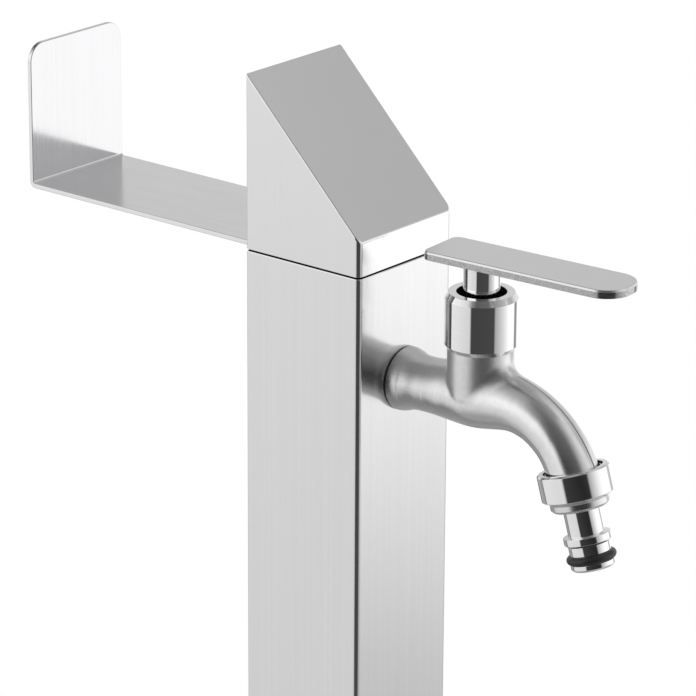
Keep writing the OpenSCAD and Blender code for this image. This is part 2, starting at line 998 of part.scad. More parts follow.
base_plate();
base_weld();
column_tube();
cap_gasket();
cap_shell();
cap_top_plate();
cap_insert();
cap_screws();
hose_rest();
rest_weld();
inlet_seal();
tap_body();
inlet_locknut();
inlet_elbow();
riser_pipe();
pipe_guide();
supply_coupling();
bonnet_sleeve();
cartridge_body();
fixed_disc();
seat_seal();
outlet_seal();
hose_connector();
nipple_seal();
lever();
lever_hub();
spindle();
spindle_seals();
turning_disc();
grub_screw();
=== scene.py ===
"""Looks of the garden standpipe: pieces, materials, studio and camera. Lengths are millimetres times MM."""

import json
import math

import bmesh
import bpy
import numpy as np
from mathutils import Matrix, Vector


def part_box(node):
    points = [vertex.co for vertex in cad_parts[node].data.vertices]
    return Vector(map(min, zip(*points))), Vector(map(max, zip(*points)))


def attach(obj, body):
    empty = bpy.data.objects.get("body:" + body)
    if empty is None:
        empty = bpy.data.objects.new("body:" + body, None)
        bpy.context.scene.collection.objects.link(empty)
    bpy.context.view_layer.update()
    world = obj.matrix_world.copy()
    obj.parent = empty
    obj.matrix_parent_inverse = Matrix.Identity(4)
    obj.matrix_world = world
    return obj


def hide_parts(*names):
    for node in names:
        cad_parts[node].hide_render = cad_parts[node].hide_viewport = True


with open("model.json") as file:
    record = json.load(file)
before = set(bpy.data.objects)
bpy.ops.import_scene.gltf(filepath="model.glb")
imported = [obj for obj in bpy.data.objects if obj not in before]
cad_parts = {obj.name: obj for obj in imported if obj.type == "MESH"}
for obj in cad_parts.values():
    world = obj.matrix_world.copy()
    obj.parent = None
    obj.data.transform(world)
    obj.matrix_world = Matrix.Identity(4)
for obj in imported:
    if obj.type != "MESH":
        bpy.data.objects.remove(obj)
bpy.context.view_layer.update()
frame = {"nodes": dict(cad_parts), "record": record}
NODES = frame["nodes"]
MM = 0.001

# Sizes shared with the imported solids, in millimetres
COLUMN_H = 924.4
HALF_W = 30.0
TAP_Z = COLUMN_H - 49.8
VALVE_Y = -HALF_W - 39.4
NECK_Z = TAP_Z + 22.3
BONNET_TOP = NECK_Z + 24.0
LEVER_Z = BONNET_TOP + 12.5
LEVER_YAW = math.radians(4)
BEND_START = 14.1
SPOUT_Y = VALVE_Y - BEND_START
SPOUT_Z = TAP_Z + 2.2
BEND_R = 36.5
BEND_ANGLE = math.radians(73.4)
CAP_Z = COLUMN_H + 0.6
CAP_FRONT_H = 15.0
CAP_WALL = 1.5
REST_LEN = 124.5
REST_FOLD_R = 3.0


# ---------------------------------------------------------------- studio

# The camera's direction, its place as steps to the right, up and back from a point on the column's axis, and its lens
SIGHT_AZ = math.radians(-50.39379)
SIGHT_EL = math.radians(19.44473)
SIGHT_ROLL = math.radians(0.295)
SIGHT_STEPS = (-0.450, -41.630, 1739.522)
SIGHT_Z = 924.75
FOCAL_PX = 4222.449
PICTURE_PX = 696
SENSOR_MM = 36


def aim_camera():
    """The camera of the picture."""
    level = Vector((math.cos(SIGHT_AZ), math.sin(SIGHT_AZ), 0))
    flat = Vector((math.sin(SIGHT_AZ), -math.cos(SIGHT_AZ), 0))
    back = flat * math.cos(SIGHT_EL) + Vector((0, 0, math.sin(SIGHT_EL)))
    upright = back.cross(level)
    right = level * math.cos(SIGHT_ROLL) + upright * math.sin(SIGHT_ROLL)
    up = upright * math.cos(SIGHT_ROLL) - level * math.sin(SIGHT_ROLL)
    place = right * SIGHT_STEPS[0] + up * SIGHT_STEPS[1] + back * SIGHT_STEPS[2] + Vector((0, 0, SIGHT_Z))
    data = bpy.data.cameras.new("camera")
    data.sensor_width = SENSOR_MM
    data.lens = SENSOR_MM * FOCAL_PX / PICTURE_PX
    data.clip_start = 0.05
    data.clip_end = 60
    cam = bpy.data.objects.new("camera", data)
    bpy.context.collection.objects.link(cam)
    turn = Matrix((right, up, back)).transposed().to_4x4()
    cam.matrix_world = Matrix.Translation(place * MM) @ turn
    bpy.context.scene.camera = cam


def link(tree, a, b):
    """Joins an output socket to an input socket."""
    tree.links.new(a, b)


def node(tree, kind, **inputs):
    """A new node with fixed values on the named inputs; _ stands for a space."""
    n = tree.nodes.new(kind)
    for key, value in inputs.items():
        n.inputs[key.replace("_", " ")].default_value = value
    return n


def new_piece_of_stage(name, bm, mat):
    """Puts a mesh of the studio into the scene, with its one material."""
    mesh = bpy.data.meshes.new(name)
    bm.to_mesh(mesh)
    bm.free()
    mesh.materials.append(mat)
    obj = bpy.data.objects.new(name, mesh)
    bpy.context.collection.objects.link(obj)
    return obj


def math_node(tree, op, *values, clamp=False):
    """A math node; each value is a number or a socket."""
    n = tree.nodes.new("ShaderNodeMath")
    n.operation = op
    n.use_clamp = clamp
    for i, v in enumerate(values):
        if isinstance(v, (int, float)):
            n.inputs[i].default_value = v
        else:
            link(tree, v, n.inputs[i])
    return n.outputs[0]


def spread(tree, source, low, high, to_low=0, to_high=1, smooth=False):
    """Maps low..high of the source to to_low..to_high, held at both ends."""
    n = node(tree, "ShaderNodeMapRange", From_Min=low, From_Max=high, To_Min=to_low, To_Max=to_high)
    if smooth:
        n.interpolation_type = "SMOOTHERSTEP"
    link(tree, source, n.inputs["Value"])
    return n.outputs[0]


def split(tree, vector):
    """The x, y and z sockets of a vector."""
    parts = tree.nodes.new("ShaderNodeSeparateXYZ")
    link(tree, vector, parts.inputs[0])
    return parts.outputs


def mixed(tree, share, a, b):
    """Mix of two colours, each given as numbers or as a socket."""
    n = tree.nodes.new("ShaderNodeMix")
    n.data_type = "RGBA"
    link(tree, share, n.inputs[0])
    for socket, v in ((n.inputs[6], a), (n.inputs[7], b)):
        if isinstance(v, tuple):
            socket.default_value = (*v, 1)
        else:
            link(tree, v, socket)
    return n.outputs[2]


def ramp(tree, source, stops, low, high):
    """Colour ramp of grey levels over low..high of the source."""
    span = high - low
    n = tree.nodes.new("ShaderNodeValToRGB")
    link(tree, math_node(tree, "MULTIPLY_ADD", source, 1 / span, -low / span), n.inputs[0])
    elements = n.color_ramp.elements
    while len(elements) > 1:
        elements.remove(elements[-1])
    for i, (x, level) in enumerate(stops):
        e = elements[0] if i == 0 else elements.new((x - low) / span)
        e.position = (x - low) / span
        e.color = (level, level, level, 1)
    return n.outputs[0]


STUDIO_R = 2.4
STUDIO_Z = 0.9
STUDIO_STRENGTH = 1.08
# The studio's screens: a pale one on the left, a dark gap behind the camera, a graded one on the right and
# a wall at the back. Each row: elevation, then pairs of degrees right of the camera and grey level
STUDIO = [
    (-50, [(-180, 0.30), (-100, 0.36), (0, 0.24), (100, 0.42), (180, 0.30)]),
    (-28, [(-180, 0.12), (-125, 0.12), (-119, 0.75), (-79, 0.70), (-36, 0.60), (-31, 0.06), (39, 0.06), (43, 0.34),
           (70, 0.46), (101, 0.55), (118, 0.60), (121, 0.28), (135, 0.28), (139, 0.80), (179, 0.80), (180, 0.12)]),
    (-17, [(-180, 0.12), (-125, 0.12), (-119, 0.80), (-79, 0.75), (-36, 0.65), (-31, 0.05), (39, 0.06), (43, 0.38),
           (70, 0.72), (92, 1.10), (118, 1.15), (121, 0.28), (135, 0.28), (139, 1.00), (179, 1.00), (180, 0.12)]),
    (2, [(-180, 0.60), (-150, 0.40), (-125, 0.18), (-118, 0.95), (-100, 1.02), (-42, 0.95), (-31, 0.02), (39, 0.02),
         (44, 0.40), (70, 0.85), (92, 1.10), (118, 1.05), (150, 0.65), (180, 0.60)]),
    (18, [(-180, 0.64), (-150, 0.50), (-128, 0.22), (-118, 0.85), (-100, 1.05), (-42, 1.00), (-31, 0.06), (35, 0.10),
          (44, 0.40), (70, 0.70), (85, 0.75), (95, 0.40), (125, 0.42), (150, 0.55), (180, 0.64)]),
    (37, [(-180, 0.34), (-135, 0.14), (-112, 0.45), (-80, 0.75), (-50, 0.70), (-33, 0.20), (-20, 0.10), (25, 0.12),
          (60, 0.60), (80, 0.80), (95, 0.50), (116, 0.48), (150, 0.42), (180, 0.34)]),
    (52, [(-180, 0.24), (-135, 0.07), (-100, 0.10), (-75, 0.50), (-45, 0.45), (-17, 0.10), (25, 0.15), (70, 0.60),
          (105, 0.75), (150, 0.38), (180, 0.24)]),
    (88, [(-180, 0.26), (180, 0.26)]),
]


def build_studio():
    """A large shell round the object that only reflections see: dark, pale and white screens."""
    mat = bpy.data.materials.new("studio_screens")
    mat.use_nodes = True
    tree = mat.node_tree
    tree.nodes.clear()
    x, y, z = split(tree, tree.nodes.new("ShaderNodeTexCoord").outputs["Object"])
    turn = math_node(tree, "MULTIPLY", math_node(tree, "ARCTAN2", y, x), 180 / math.pi)
    rise = math_node(tree, "ARCSINE", math_node(tree, "DIVIDE", z, STUDIO_R))
    rise = math_node(tree, "MULTIPLY", rise, 180 / math.pi)
    level = None
    for i, (height, stops) in enumerate(STUDIO):
        grey = ramp(tree, turn, stops, -180, 180)
        if level is None:
            level = grey
        else:
            level = mixed(tree, spread(tree, rise, STUDIO[i - 1][0], height), level, grey)
    glow = node(tree, "ShaderNodeEmission", Strength=STUDIO_STRENGTH)
    link(tree, level, glow.inputs["Color"])
    out = tree.nodes.new("ShaderNodeOutputMaterial")
    link(tree, glow.outputs[0], out.inputs[0])

    bm = bmesh.new()
    bmesh.ops.create_uvsphere(bm, u_segments=64, v_segments=32, radius=STUDIO_R)
    bmesh.ops.reverse_faces(bm, faces=bm.faces)
    shell = new_piece_of_stage("studio_shell", bm, mat)
    shell.location = (0, 0, STUDIO_Z)
    shell.rotation_euler = (0, 0, SIGHT_AZ - math.pi / 2)
    shell.visible_camera = False
    shell.visible_diffuse = False
    shell.visible_shadow = False
    shell.visible_volume_scatter = False


def build_world():
    """Even light: half strength on surfaces, white where the camera, a reflection or glass sees it."""
    world = bpy.data.worlds.new("world")
    bpy.context.scene.world = world
    world.use_nodes = True
    tree = world.node_tree
    tree.nodes.clear()
    rays = tree.nodes.new("ShaderNodeLightPath").outputs
    seen = math_node(tree, "MAXIMUM", rays["Is Camera Ray"], rays["Is Glossy Ray"])
    seen = math_node(tree, "MAXIMUM", seen, rays["Is Transmission Ray"])
    back = node(tree, "ShaderNodeBackground", Color=(1, 1, 1, 1))
    link(tree, math_node(tree, "MULTIPLY_ADD", seen, 0.5, 0.5), back.inputs["Strength"])
    out = tree.nodes.new("ShaderNodeOutputWorld")
    link(tree, back.outputs[0], out.inputs[0])


FLOOR_R = 1.5
FLOOR_Z = -0.0005
FLOOR_FADE = (0.25, 1.35)


def build_floor():
    """Pale floor that keeps the shadow near the foot and fades to white further out."""
    mat = bpy.data.materials.new("pale_floor")
    mat.use_nodes = True
    tree = mat.node_tree
    shade = tree.nodes["Principled BSDF"]
    shade.inputs["Base Color"].default_value = (0.86, 0.86, 0.86, 1)
    shade.inputs["Roughness"].default_value = 0.9
    shade.inputs["Specular IOR Level"].default_value = 0.1
    away = tree.nodes.new("ShaderNodeVectorMath")
    away.operation = "LENGTH"
    link(tree, tree.nodes.new("ShaderNodeTexCoord").outputs["Object"], away.inputs[0])
    fade = spread(tree, away.outputs["Value"], *FLOOR_FADE, smooth=True)
    rays = tree.nodes.new("ShaderNodeLightPath").outputs
    glow = node(tree, "ShaderNodeEmission", Color=(1, 1, 1, 1), Strength=1.0)
    mix = tree.nodes.new("ShaderNodeMixShader")
    link(tree, math_node(tree, "MULTIPLY", fade, rays["Is Camera Ray"]), mix.inputs[0])
    link(tree, shade.outputs[0], mix.inputs[1])
    link(tree, glow.outputs[0], mix.inputs[2])
    link(tree, mix.outputs[0], tree.nodes["Material Output"].inputs[0])

    bm = bmesh.new()
    bmesh.ops.create_circle(bm, cap_ends=True, segments=128, radius=FLOOR_R)
    floor = new_piece_of_stage("floor", bm, mat)
    floor.location = (0, 0, FLOOR_Z)
    floor.visible_glossy = False


def area_lamp(name, place, target, size, watts):
    """Round soft lamp that shines but isn't seen or mirrored."""
    data = bpy.data.lights.new(name, "AREA")
    data.shape = "DISK"
    data.size = size
    data.energy = watts
    lamp = bpy.data.objects.new(name, data)
    bpy.context.collection.objects.link(lamp)
    lamp.location = place
    aim = Vector(target) - Vector(place)
    lamp.rotation_euler = aim.to_track_quat("-Z", "Y").to_euler()
    lamp.visible_glossy = False
    lamp.visible_camera = False


# ---------------------------------------------------------------- materials

def noise(tree, coords, cells, detail):
    """Noise with so many cells per metre along x, y and z."""
    place = node(tree, "ShaderNodeMapping", Scale=cells)
    link(tree, coords, place.inputs[0])
    n = node(tree, "ShaderNodeTexNoise", Scale=1.0, Detail=detail, Roughness=0.55)
    link(tree, place.outputs[0], n.inputs["Vector"])
    return n.outputs["Fac"]


def shades(base, tint):
    """A darker and a paler shade of a colour."""
    return tuple(c * (1 - tint) for c in base), tuple(min(1.0, c * (1 + tint)) for c in base)


def raise_grain(tree, shade, height, strength, distance):
    """Bump of so many metres from a height."""
    lift = node(tree, "ShaderNodeBump", Strength=strength, Distance=distance)
    link(tree, height, lift.inputs["Height"])
    link(tree, lift.outputs[0], shade.inputs["Normal"])


MATS = {}


def start(name, metallic, base):
    """A new material in MATS: its tree, its surface shader and the coordinates, which are the frame's own."""
    mat = bpy.data.materials.new(name)
    MATS[name] = mat
    mat.use_nodes = True
    mat.diffuse_color = (*base, 1)
    tree = mat.node_tree
    shade = tree.nodes["Principled BSDF"]
    shade.inputs["Metallic"].default_value = metallic
    coords = tree.nodes.new("ShaderNodeTexCoord").outputs["Object"]
    return tree, shade, coords


def metal(name, base, rough, grain, rough_span=0.06, tint=0.03, bump=6e-6, coarse=0.5, cloud=0.02,
          dull=None, satin=None):
    """Metal whose grain has so many noise cells per metre along x, y and z.

    rough_span, tint and bump are how much the grain changes roughness, colour and height, and coarse is the share of
    its broad part in the height. cloud is what large patches add to the roughness. dull (y from, y to, extra) and
    satin (z from, z to, y from, y to, extra) add roughness over a part of the metal.
    """
    tree, shade, coords = start(name, 1.0, base)
    fine = noise(tree, coords, grain, 3.0)
    broad = noise(tree, coords, tuple(g / 5 for g in grain), 2.0)
    patches = noise(tree, coords, (22, 22, 22), 2.0)
    r = spread(tree, fine, 0.25, 0.75, rough - rough_span, rough + rough_span)
    r = math_node(tree, "ADD", r, spread(tree, patches, 0.3, 0.7, -cloud, cloud), clamp=True)
    if dull:
        r = math_node(tree, "ADD", r, spread(tree, split(tree, coords)[1], dull[0] * MM, dull[1] * MM, dull[2], 0))
    if satin:
        _, y, z = split(tree, coords)
        above = spread(tree, z, satin[0] * MM, satin[1] * MM, 0, satin[4])
        behind = spread(tree, y, satin[2] * MM, satin[3] * MM)
        r = math_node(tree, "ADD", r, math_node(tree, "MULTIPLY", above, behind))
    link(tree, r, shade.inputs["Roughness"])
    link(tree, mixed(tree, spread(tree, broad, 0.3, 0.7), *shades(base, tint)), shade.inputs["Base Color"])
    height = math_node(tree, "ADD", math_node(tree, "MULTIPLY", broad, coarse), fine)
    raise_grain(tree, shade, height, 1.0, bump)


def matter(name, base, rough, grain, bump=1e-5, tint=0.06, specular=0.5):
    """Rubber, plastic or ceramic with a fine grain of so many noise cells per metre."""
    tree, shade, coords = start(name, 0.0, base)
    fine = noise(tree, coords, (grain, grain, grain), 3.0)
    patches = noise(tree, coords, (60, 60, 60), 2.0)
    link(tree, spread(tree, fine, 0.3, 0.7, rough - 0.06, rough + 0.06), shade.inputs["Roughness"])
    link(tree, mixed(tree, patches, *shades(base, tint)), shade.inputs["Base Color"])
    shade.inputs["Specular IOR Level"].default_value = specular
    raise_grain(tree, shade, fine, 0.6, bump)


STEEL = (0.86, 0.86, 0.87)
PLATE_GREY = (0.82, 0.82, 0.83)
TUBE_GRAIN = (2600, 2600, 14)
CAP_GRAIN = (2600, 2600, 30)
REST_GRAIN = (2600, 26, 26)
NECK_SATIN = (TAP_Z + 2, TAP_Z + 9, VALVE_Y - 17, VALVE_Y - 11, 0.18)
FLANGE_DULL = (-46, -58, 0.06)

metal("column_steel", PLATE_GREY, 0.16, TUBE_GRAIN, tint=0.012, bump=1.1e-6, coarse=0.3)
metal("cap_steel", PLATE_GREY, 0.18, CAP_GRAIN, tint=0.008, bump=8e-7, coarse=0.3, cloud=0.035)
# Painted light: a paler copy of the cap's steel for its front faces, standing in for the brighter light on that side
metal("cap_front_painted_light", (0.92, 0.92, 0.92), 0.18, CAP_GRAIN, tint=0.012, bump=1e-6, coarse=0.3)
metal("cap_top_steel", (0.79, 0.79, 0.80), 0.24, (1700, 30, 30), rough_span=0.03, tint=0.004, bump=3e-7, coarse=0.3,
      cloud=0.05)
metal("rest_steel", STEEL, 0.18, REST_GRAIN, tint=0.010, bump=2.5e-6, coarse=0.3)
# Painted shade: a darker copy of the rest's steel for its upturned end
metal("upturn_painted_shade", (0.80, 0.80, 0.81), 0.14, REST_GRAIN, tint=0.010, bump=2.5e-6, coarse=0.3)
metal("plate_steel", STEEL, 0.26, (40, 2200, 40))
metal("lever_steel", (0.84, 0.84, 0.85), 0.24, (2400, 2400, 2400), tint=0.012, bump=2e-6, coarse=0.2)
metal("lever_edge", (0.50, 0.50, 0.50), 0.18, (9000, 9000, 9000), rough_span=0.08, tint=0.30)
metal("cast_steel", (0.84, 0.84, 0.84), 0.22, (2300, 2300, 2300), rough_span=0.05, dull=FLANGE_DULL, satin=NECK_SATIN)
# Painted shade: near-black steel for the walls of the sleeve's recess, where shade falls
metal("recess_painted_shade", (0.05, 0.05, 0.05), 0.5, (900, 900, 900))
metal("polished_steel", (0.92, 0.92, 0.92), 0.055, (60, 60, 3500), rough_span=0.02, tint=0.01, bump=4e-7)
metal("turned_steel", (0.80, 0.80, 0.80), 0.26, (1200, 1200, 1200), rough_span=0.05, bump=3e-6)
metal("hidden_steel", (0.70, 0.70, 0.71), 0.35, (400, 400, 400))
metal("weld_bead", (0.66, 0.66, 0.67), 0.32, (900, 900, 900), rough_span=0.08, bump=3e-5)
metal("dark_steel", (0.10, 0.10, 0.11), 0.35, (900, 900, 900))
metal("brass_fitting", (0.78, 0.58, 0.27), 0.22, (90, 90, 2400))
# The cap's gasket: black rubber made darker and duller still, which paints the shade in the seam's gap
matter("seam_rubber_and_shade", (0.002, 0.002, 0.002), 0.8, 1800, specular=0.05)
matter("black_rubber", (0.012, 0.012, 0.013), 0.36, 1800)
matter("dark_plastic", (0.05, 0.055, 0.06), 0.5, 1400)
matter("ceramic", (0.86, 0.86, 0.82), 0.18, 900, bump=2e-6, tint=0.02)


# ---------------------------------------------------------------- mesh helpers

def finish_mesh(obj, smooth_deg=38, bevel=None):
    """Rounds the edges by so many millimetres and smooths the shading up to an angle."""
    if bevel:
        mod = obj.modifiers.new("edges", "BEVEL")
        mod.width = bevel * MM
        mod.segments = 3
        mod.limit_method = "ANGLE"
        mod.angle_limit = math.radians(30)
        mod.miter_outer = "MITER_ARC"
        apply_modifiers(obj)
    obj.data.shade_smooth()
    obj.data.set_sharp_from_angle(angle=math.radians(smooth_deg))
    mod = obj.modifiers.new("normals", "WEIGHTED_NORMAL")
    mod.keep_sharp = True
    mod.mode = "FACE_AREA"
    mod.weight = 80
    apply_modifiers(obj)


def apply_modifiers(obj):
    """Bakes the modifiers into the mesh."""
    graph = bpy.context.evaluated_depsgraph_get()
    graph.update()
    made = bpy.data.meshes.new_from_object(obj.evaluated_get(graph), preserve_all_data_layers=True, depsgraph=graph)
    old = obj.data
    obj.modifiers.clear()
    obj.data = made
    bpy.data.meshes.remove(old)


def new_object(name, bm):
    """Puts a mesh of the object into the scene, at the frame's origin."""
    mesh = bpy.data.meshes.new(name)
    bm.normal_update()
    bm.to_mesh(mesh)
    bm.free()
    obj = bpy.data.objects.new(name, mesh)
    bpy.context.collection.objects.link(obj)
    bpy.context.view_layer.update()
    return obj


def settle(obj, body, slot, mats, *nodes):
    """Gives a piece its materials and body, and hides the nodes that it replaces; slot is not used."""
    for m in mats:
        obj.data.materials.append(MATS[m])
    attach(obj, body)
    if nodes:
        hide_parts(*nodes)


def solid_copy(name, source):
    """A node's own solid as a clean mesh, ready for edge rounding."""
    bm = bmesh.new()
    bm.from_mesh(NODES[source].data)
    bm.transform(NODES[source].matrix_world)
    bmesh.ops.remove_doubles(bm, verts=bm.verts, dist=2e-6)
    bmesh.ops.dissolve_limit(bm, angle_limit=math.radians(0.8), verts=bm.verts, edges=bm.edges)
    for f in bm.faces:
        f.material_index = 0
    return new_object(name, bm)


def side_faces(bm, rings):
    """Quads between each ring of vertices and the next; returns them row by row."""
    rows = []
    for a, b in zip(rings, rings[1:]):
        n = len(a)
        rows.append([bm.faces.new((a[i], a[(i + 1) % n], b[(i + 1) % n], b[i])) for i in range(n)])
    return rows


def round_profile(points, radii, steps=3):
    """Closed outline with each corner cut back to a small arc of its own radius."""
    out = []
    n = len(points)
    for i, r in enumerate(radii):
        p = Vector(points[i])
        if r <= 0:
            out.append(tuple(p))
            continue
        a = Vector(points[i - 1]) - p
        b = Vector(points[(i + 1) % n]) - p
        angle = a.angle(b)
        back = min(r / math.tan(angle / 2), a.length * 0.45, b.length * 0.45)
        r = back * math.tan(angle / 2)
        middle = p + (a.normalized() + b.normalized()).normalized() * (r / math.sin(angle / 2))
        first = p + a.normalized() * back - middle
        last = p + b.normalized() * back - middle
        sweep = first.angle_signed(last)
        for k in range(steps + 1):
            t = -sweep * k / steps
            c, s = math.cos(t), math.sin(t)
            out.append((middle.x + first.x * c - first.y * s, middle.y + first.x * s + first.y * c))
    return out


def lathe(name, outline, matrix):
    """Turned piece: a closed outline of (radius, height) pairs in millimetres, round the local z axis."""
    segments = 144
    bm = bmesh.new()
    rings = []
    for r, z in outline:
        ring = []
        for k in range(segments):
            t = 2 * math.pi * k / segments
            ring.append(bm.verts.new((r * math.cos(t) * MM, r * math.sin(t) * MM, z * MM)))
        rings.append(ring)
    side_faces(bm, rings + rings[:1])
    bmesh.ops.recalc_face_normals(bm, faces=bm.faces)
    bm.transform(matrix)
    return new_object(name, bm)


def upright(y, z, turn=0.0):
    """Local z points up, from a point on the middle plane."""
    return Matrix.Translation((0, y * MM, z * MM)) @ Matrix.Rotation(turn, 4, "Z")


def outlet_matrix():
    """Local z points out of the spout, from the end of its bend."""
    end_y = SPOUT_Y - BEND_R * math.sin(BEND_ANGLE)
    end_z = SPOUT_Z - BEND_R * (1 - math.cos(BEND_ANGLE))
    return Matrix.Translation((0, end_y * MM, end_z * MM)) @ Matrix.Rotation(math.pi / 2 + BEND_ANGLE, 4, "X")


# ---------------------------------------------------------------- sheet pieces

GROUND_IN = 0.18
GROUND_DOWN = 0.12


def build_column():
    """The tube, with a narrow ground edge under the seam."""
    tube = solid_copy("column", "column_tube")
    bm = bmesh.new()
    bm.from_mesh(tube.data)
    cut = (0, 0, (COLUMN_H - 0.5) * MM)
    everything = bm.verts[:] + bm.edges[:] + bm.faces[:]
    bmesh.ops.bisect_plane(bm, geom=everything, plane_co=cut, plane_no=(0, 0, 1), dist=1e-6)
    for v in bm.verts:
        outside = max(abs(v.co.x), abs(v.co.y)) > (HALF_W - 1.3) * MM
        if outside and v.co.z > (COLUMN_H - 0.01) * MM:
            v.co.x *= 1 - GROUND_IN / HALF_W
            v.co.y *= 1 - GROUND_IN / HALF_W
            v.co.z -= GROUND_DOWN * MM
    bm.to_mesh(tube.data)
    bm.free()
    finish_mesh(tube, bevel=0.06, smooth_deg=17)
    settle(tube, "column", "brushed_steel", ["column_steel"], "column_tube")


# The cap: radii of its upright corners, how far the plate's edge is rounded at the front and back, and its low edge
CAP_FRONT_R = 2.4
CAP_BACK_R = 0.8
CAP_INNER_R = 0.9
CAP_EDGE = 1.1
CAP_BACK_EDGE = 0.75
CAP_LOW_EDGE = 0.12
# Rings of the plate's edge: inset and drop along the sides, degrees of the rounding at the front and back
CAP_RIM = ((0, 1.05, 0), (0.02, 0.92, 20), (0.16, 0.5, 40), (0.30, 0.10, 65), (0.42, 0, 90))


def cap_outline(half, front_r, back_r, steps=8):
    """Points round the tube with their outward normals, and two extra points on each side."""
    pts = []
    for cx, cy, first in ((1, 1, 0), (-1, 1, 90), (-1, -1, 180), (1, -1, 270)):
        r = back_r if cy > 0 else front_r
        for k in range(steps + 1):
            t = math.radians(first + 90 * k / steps)
            c, d = math.cos(t), math.sin(t)
            pts.append((cx * (half - r) + r * c, cy * (half - r) + r * d, c, d))
        if first == 90:
            pts += [(-half, y, -1, 0) for y in (24, 14)]
        if first == 270:
            pts += [(half, y, 1, 0) for y in (14, 24)]
    return pts


def cap_slope(y):
    """Height of the plate's face over a point."""
    return CAP_Z + CAP_FRONT_H + y + HALF_W


def rounding(degrees):
    """How far a quarter circle of radius 1 has come in, from the side and from the top."""
    t = math.radians(degrees)
    return 1 - math.sin(t), 1 - math.cos(t)


def cap_rim(outer, over, low, degrees):
    """One ring of the plate's edge: a narrow ground face along the sides, a rounding at the front and back."""
    c, d = rounding(degrees)
    pts = []
    for x, y, nx, ny in outer:
        reach = float(np.interp(y, [10, 24, 29], [CAP_EDGE, CAP_EDGE * 0.9, CAP_BACK_EDGE]))
        side = nx * nx
        inset = side * over + (1 - side) * reach * d / math.sqrt(1 + ny * ny)
        drop = side * low + (1 - side) * reach * c
        pts.append((x - nx * inset, y - ny * inset, cap_slope(y) - drop - ny * inset))
    return pts


def build_cap():
    """Tube end and sloping plate, ground into one body with softly rounded edges."""
    outer = cap_outline(HALF_W, CAP_FRONT_R, CAP_BACK_R)
    inner = cap_outline(HALF_W - CAP_WALL, CAP_INNER_R, CAP_INNER_R)
    rings = [[(x, y, cap_slope(y) - CAP_WALL * math.sqrt(2)) for x, y, nx, ny in inner],
             [(x, y, CAP_Z) for x, y, nx, ny in inner]]
    for degrees in (0, 30, 60, 90):
        c, d = (CAP_LOW_EDGE * v for v in rounding(degrees))
        rings.append([(x - nx * c, y - ny * c, CAP_Z + GROUND_DOWN + d) for x, y, nx, ny in outer])
    rings += [cap_rim(outer, *row) for row in CAP_RIM]
    bm = bmesh.new()
    rings = [[bm.verts.new((x * MM, y * MM, z * MM)) for x, y, z in ring] for ring in rings]
    side_faces(bm, rings)
    lid = bm.faces.new(rings[-1])
    lid.material_index = 1
    bm.faces.new(list(reversed(rings[0])))
    bmesh.ops.recalc_face_normals(bm, faces=bm.faces)
    # Faces that look forward take the paler copy: painted light on the cap's front
    for f in bm.faces:
        if f.normal.y < -0.8:
            f.material_index = 2
    cap = new_object("cap", bm)
    finish_mesh(cap, smooth_deg=50)
    mats = ["cap_steel", "cap_top_steel", "cap_front_painted_light"]
    settle(cap, "column", "brushed_steel", mats, "cap_shell", "cap_top_plate")


def build_rest():
    """The folded sheet; its upturned end gets a darker, smoother copy of the sheet's steel, which paints shade on it.
    """
    rest = solid_copy("hose_rest", "hose_rest")
    finish_mesh(rest, bevel=0.3, smooth_deg=40)
    # The upturned end's faces take the darker copy: painted shade
    for f in rest.data.polygons:
        if f.center.y > (HALF_W + REST_LEN - REST_FOLD_R + 0.1) * MM:
            f.material_index = 1
    settle(rest, "column", "brushed_steel", ["rest_steel", "upturn_painted_shade"], "hose_rest")


LEVER_HALF = 12.5
LEVER_TIP = 70.5
LEVER_TIP_R = 11.0
LEVER_BACK = 21.5
LEVER_BACK_R = 4.0
# Rings of the lever from its underside to its top: inset of the outline, height
LEVER_RINGS = ((0.35, 0), (0.06, 0.12), (0, 0.35), (0, 2.72), (0.36, 3.48), (0.58, 3.6))


def build_lever():
    """Flat lever: its outline at several heights, with a ground edge round the top."""
    tip, back = (LEVER_TIP_R - LEVER_TIP, LEVER_TIP_R), (LEVER_BACK - LEVER_BACK_R, LEVER_BACK_R)
    outline = []
    for sx, (y, r), first in ((1, tip, 270), (1, back, 0), (-1, back, 90), (-1, tip, 180)):
        for k in range(13):
            t = math.radians(first + 7.5 * k)
            c, d = math.cos(t), math.sin(t)
            outline.append((sx * (LEVER_HALF - r) + r * c, y + r * d, c, d))
    bm = bmesh.new()
    rings = [[bm.verts.new(((x - nx * inset) * MM, (y - ny * inset) * MM, z * MM)) for x, y, nx, ny in outline]
             for inset, z in LEVER_RINGS]
    rows = side_faces(bm, rings)
    for face in rows[1] + rows[2]:
        face.material_index = 1
    bm.faces.new(rings[-1])
    bm.faces.new(list(reversed(rings[0])))
    bmesh.ops.recalc_face_normals(bm, faces=bm.faces)
    bm.transform(upright(VALVE_Y, LEVER_Z, LEVER_YAW))
    lever = new_object("lever", bm)
    finish_mesh(lever, smooth_deg=20)
    settle(lever, "handle", "lever_steel", ["lever_steel", "lever_edge"], "lever")


def build_base():
    """The base plate with its edges broken."""
    plate = solid_copy("base_plate", "base_plate")
    finish_mesh(plate, bevel=0.5, smooth_deg=40)
    settle(plate, "column", "brushed_steel", ["plate_steel"], "base_plate")


# ---------------------------------------------------------------- turned pieces

RECESS_R = 10.3


